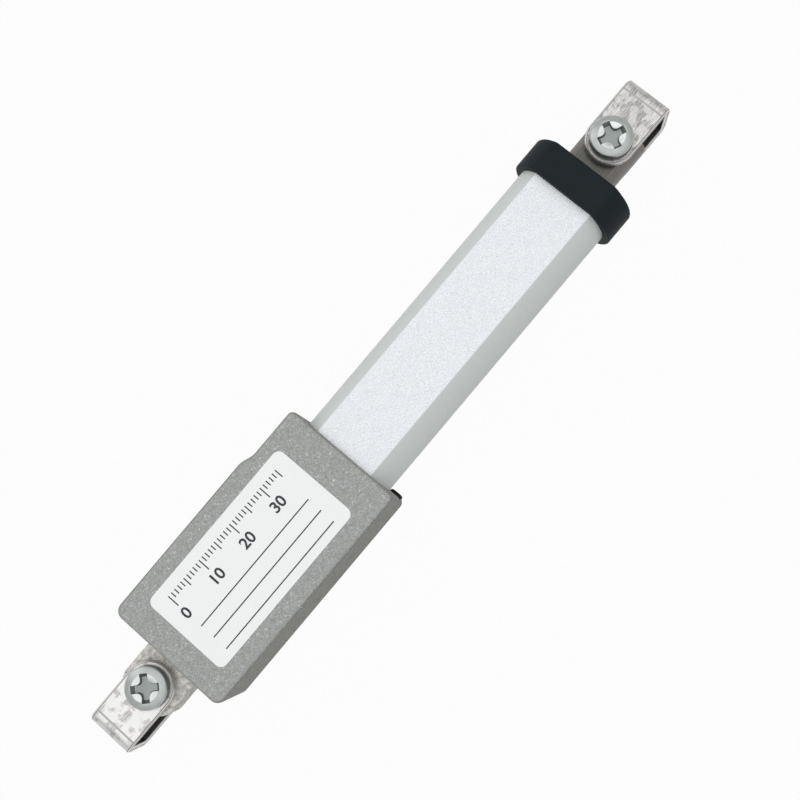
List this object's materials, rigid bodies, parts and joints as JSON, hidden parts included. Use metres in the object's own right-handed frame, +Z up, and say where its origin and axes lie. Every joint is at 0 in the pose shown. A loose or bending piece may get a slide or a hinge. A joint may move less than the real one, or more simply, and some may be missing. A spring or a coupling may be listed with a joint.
{
  "type": "micro linear actuator",
  "caption": "Slim electric linear actuator: cast gear housing, double-D tube and sliding rod, with a swinging U bracket at each end.",
  "frame": {"origin": "centre of the rear bracket's base hole, on the outer face of that base", "axes": "+X along the drive axis from the rear mount to the rod end, +Z up through the label face"},
  "size_m": [0.1828, 0.0305, 0.0215],
  "materials": {
    "cast_alloy": "die-cast, blasted matt grey",
    "anodised_tube": "bead-blasted, clear anodised",
    "rod_alloy": "fine satin",
    "black_moulding": "satin black",
    "bracket_steel": "bright stainless sheet, lightly brushed",
    "plated_steel": "zinc plated",
    "label_film": "white film",
    "rubber": "matt black",
    "bearing_plastic": "natural acetal",
    "gear_steel": "sintered steel",
    "bright_steel": "ground",
    "bronze": "sintered bronze",
    "copper": "enamelled copper",
    "brass": "turned brass",
    "ferrite": "matt dark grey",
    "carbon": "carbon",
    "motor_plastic": "moulded",
    "board": "green solder mask",
    "switch_plastic": "moulded black"
  },
  "bodies": {
    "housing": {"gear_housing": "cast_alloy", "base_cover": "cast_alloy", "cover_screws": "plated_steel", "label_plate": "label_film", "cable_grommet": "rubber", "outer_tube": "anodised_tube", "tube_screws": "plated_steel", "end_cap": "black_moulding", "rod_wiper": "rubber", "guide_bush": "bearing_plastic", "motor_can": "bright_steel", "motor_end_bell": "motor_plastic", "motor_terminals": "brass", "motor_bushes": "bronze", "motor_magnets": "ferrite", "motor_brushes": "carbon", "gear_plate": "gear_steel", "ring_gear": "gear_steel", "bearing_block": "cast_alloy", "bearing_retainer": "bright_steel", "bearing_outer_ring": "bright_steel", "switch_board": "board", "rear_limit_switch": "switch_plastic", "front_limit_switch": "switch_plastic", "steering_diodes": "switch_plastic"},
    "motor_rotor": {"motor_shaft": "bright_steel", "armature_core": "gear_steel", "armature_windings": "copper", "commutator": "copper", "first_sun_gear": "brass"},
    "first_stage": {"first_carrier": "gear_steel", "first_carrier_pins": "bright_steel"},
    "first_planet_a": {"first_planet_a": "bearing_plastic"},
    "first_planet_b": {"first_planet_b": "bearing_plastic"},
    "first_planet_c": {"first_planet_c": "bearing_plastic"},
    "screw_drive": {"second_carrier": "gear_steel", "second_carrier_pins": "bright_steel", "lead_screw": "bright_steel", "bearing_inner_ring": "bright_steel"},
    "second_planet_a": {"second_planet_a": "gear_steel"},
    "second_planet_b": {"second_planet_b": "gear_steel"},
    "second_planet_c": {"second_planet_c": "gear_steel"},
    "bearing_cage": {"bearing_balls": "bright_steel", "ball_cage": "brass"},
    "rod": {"rod_tube": "rod_alloy", "drive_nut": "bearing_plastic", "nut_grub_screws": "plated_steel"},
    "rear_bracket": {"rear_bracket": "bracket_steel", "rear_pivot_screw": "plated_steel", "rear_pivot_nut": "plated_steel"},
    "front_bracket": {"front_bracket": "bracket_steel", "front_pivot_screw": "plated_steel", "front_pivot_nut": "plated_steel"}
  },
  "joints": [
    {"name": "motor_spin", "type": "hinge", "parent": "housing", "child": "motor_rotor", "pos_m": [0.0379, 0, 0], "axis": [-1, 0, 0], "range_deg": [0, 182250.01]},
    {"name": "first_stage_spin", "type": "hinge", "parent": "housing", "child": "first_stage", "pos_m": [0.062, 0, 0], "axis": [-1, 0, 0], "range_deg": [0, 40500.01]},
    {"name": "screw_spin", "type": "hinge", "parent": "housing", "child": "screw_drive", "pos_m": [0.09, 0, 0], "axis": [-1, 0, 0], "range_deg": [0, 9000.01]},
    {"name": "bearing_cage_spin", "type": "hinge", "parent": "housing", "child": "bearing_cage", "pos_m": [0.0729, 0, 0], "axis": [-1, 0, 0], "range_deg": [0, 3400.01]},
    {"name": "first_planet_a_spin", "type": "hinge", "parent": "first_stage", "child": "first_planet_a", "pos_m": [0.054, 0.00473, 0], "axis": [-1, 0, 0], "range_deg": [-113400.01, 0]},
    {"name": "first_planet_b_spin", "type": "hinge", "parent": "first_stage", "child": "first_planet_b", "pos_m": [0.054, -0.00236, 0.00409], "axis": [-1, 0, 0], "range_deg": [-113400.01, 0]},
    {"name": "first_planet_c_spin", "type": "hinge", "parent": "first_stage", "child": "first_planet_c", "pos_m": [0.054, -0.00236, -0.00409], "axis": [-1, 0, 0], "range_deg": [-113400.01, 0]},
    {"name": "second_planet_a_spin", "type": "hinge", "parent": "screw_drive", "child": "second_planet_a", "pos_m": [0.061, 0.00473, 0], "axis": [-1, 0, 0], "range_deg": [-25200.01, 0]},
    {"name": "second_planet_b_spin", "type": "hinge", "parent": "screw_drive", "child": "second_planet_b", "pos_m": [0.061, -0.00236, 0.00409], "axis": [-1, 0, 0], "range_deg": [-25200.01, 0]},
    {"name": "second_planet_c_spin", "type": "hinge", "parent": "screw_drive", "child": "second_planet_c", "pos_m": [0.061, -0.00236, -0.00409], "axis": [-1, 0, 0], "range_deg": [-25200.01, 0]},
    {"name": "rod_slide", "type": "slide", "parent": "housing", "child": "rod", "axis": [1, 0, 0], "range_m": [0, 0.05]},
    {"name": "rear_bracket_swing", "type": "hinge", "parent": "housing", "child": "rear_bracket", "pos_m": [0.0139, 0, 0], "axis": [0, 0, 1], "range_deg": [-90, 90]},
    {"name": "front_bracket_swing", "type": "hinge", "parent": "rod", "child": "front_bracket", "pos_m": [0.1689, 0, 0], "axis": [0, 0, 1], "range_deg": [-90, 90]}
  ],
  "couplings": [
    {"joint": "motor_spin", "follows": "rod_slide", "rad_per_m": 63617},
    {"joint": "first_stage_spin", "follows": "rod_slide", "rad_per_m": 14137},
    {"joint": "screw_spin", "follows": "rod_slide", "rad_per_m": 3141.6},
    {"joint": "bearing_cage_spin", "follows": "rod_slide", "rad_per_m": 1186.8},
    {"joint": "first_planet_a_spin", "follows": "rod_slide", "rad_per_m": -39584},
    {"joint": "first_planet_b_spin", "follows": "rod_slide", "rad_per_m": -39584},
    {"joint": "first_planet_c_spin", "follows": "rod_slide", "rad_per_m": -39584},
    {"joint": "second_planet_a_spin", "follows": "rod_slide", "rad_per_m": -8796.5},
    {"joint": "second_planet_b_spin", "follows": "rod_slide", "rad_per_m": -8796.5},
    {"joint": "second_planet_c_spin", "follows": "rod_slide", "rad_per_m": -8796.5}
  ]
}
